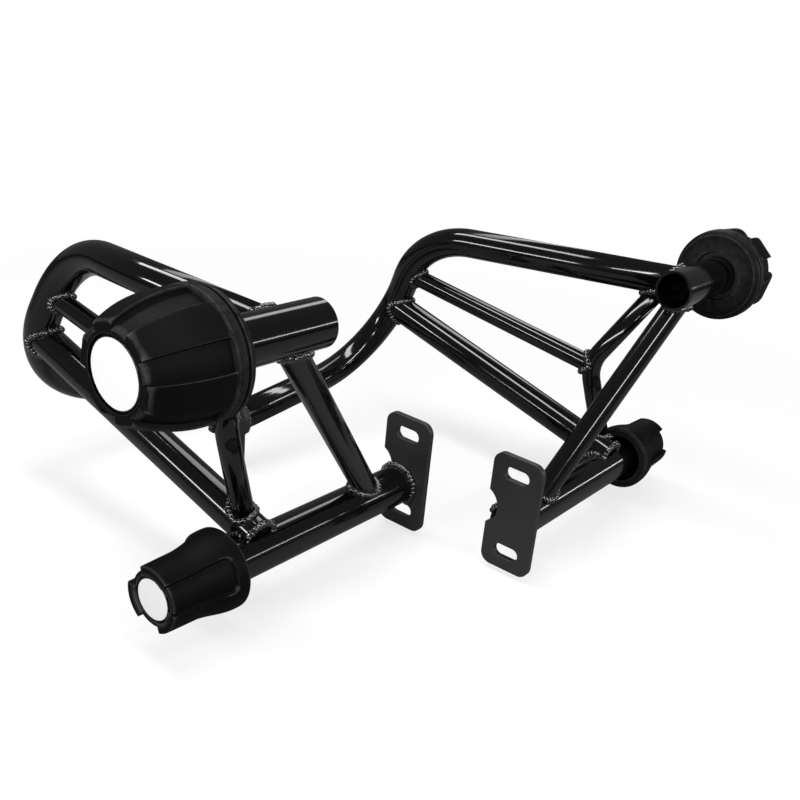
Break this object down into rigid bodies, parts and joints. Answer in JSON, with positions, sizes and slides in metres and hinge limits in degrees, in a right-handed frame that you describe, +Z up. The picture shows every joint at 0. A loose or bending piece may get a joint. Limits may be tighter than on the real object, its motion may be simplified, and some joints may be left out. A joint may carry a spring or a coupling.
{
  "type": "motorcycle crash bars",
  "caption": "Pair of motorcycle crash bars: mirrored frames of bent, welded black tube with slotted mount plates, front lugs and ribbed plastic sliders on the tube ends.",
  "frame": {"origin": "below the middle of the pair's bounding box, on the floor", "axes": "+X across the motorcycle towards the right bar, +Y forward, +Z up"},
  "size_m": [0.584, 0.4587, 0.2531],
  "materials": {
    "tube_paint": "gloss black",
    "plate_paint": "satin black",
    "slider_nylon": "matte black, fine grain",
    "bushing_rubber": "matte",
    "badge_white": "gloss white",
    "fastener_zinc": "zinc plated"
  },
  "bodies": {
    "root": {"left_mount_plate": "plate_paint", "left_lower_stub": "tube_paint", "left_upper_stub": "tube_paint", "left_main_hoop": "tube_paint", "left_lower_rail": "tube_paint", "left_upper_rail": "tube_paint", "left_post": "tube_paint", "left_brace": "tube_paint", "left_front_bracket": "plate_paint", "left_upper_slider": "slider_nylon", "left_upper_bushing": "bushing_rubber", "left_upper_badge": "badge_white", "left_upper_bolt": "fastener_zinc", "left_upper_washer": "fastener_zinc", "left_upper_plug": "fastener_zinc", "left_lower_slider": "slider_nylon", "left_lower_badge": "badge_white", "left_lower_bolt": "fastener_zinc", "left_lower_washer": "fastener_zinc", "left_lower_plug": "fastener_zinc", "right_mount_plate": "plate_paint", "right_lower_stub": "tube_paint", "right_upper_stub": "tube_paint", "right_main_hoop": "tube_paint", "right_lower_rail": "tube_paint", "right_upper_rail": "tube_paint", "right_post": "tube_paint", "right_brace": "tube_paint", "right_front_bracket": "plate_paint", "right_upper_slider": "slider_nylon", "right_upper_bushing": "bushing_rubber", "right_upper_badge": "badge_white", "right_upper_bolt": "fastener_zinc", "right_upper_washer": "fastener_zinc", "right_upper_plug": "fastener_zinc", "right_lower_slider": "slider_nylon", "right_lower_badge": "badge_white", "right_lower_bolt": "fastener_zinc", "right_lower_washer": "fastener_zinc", "right_lower_plug": "fastener_zinc"}
  },
  "joints": []
}
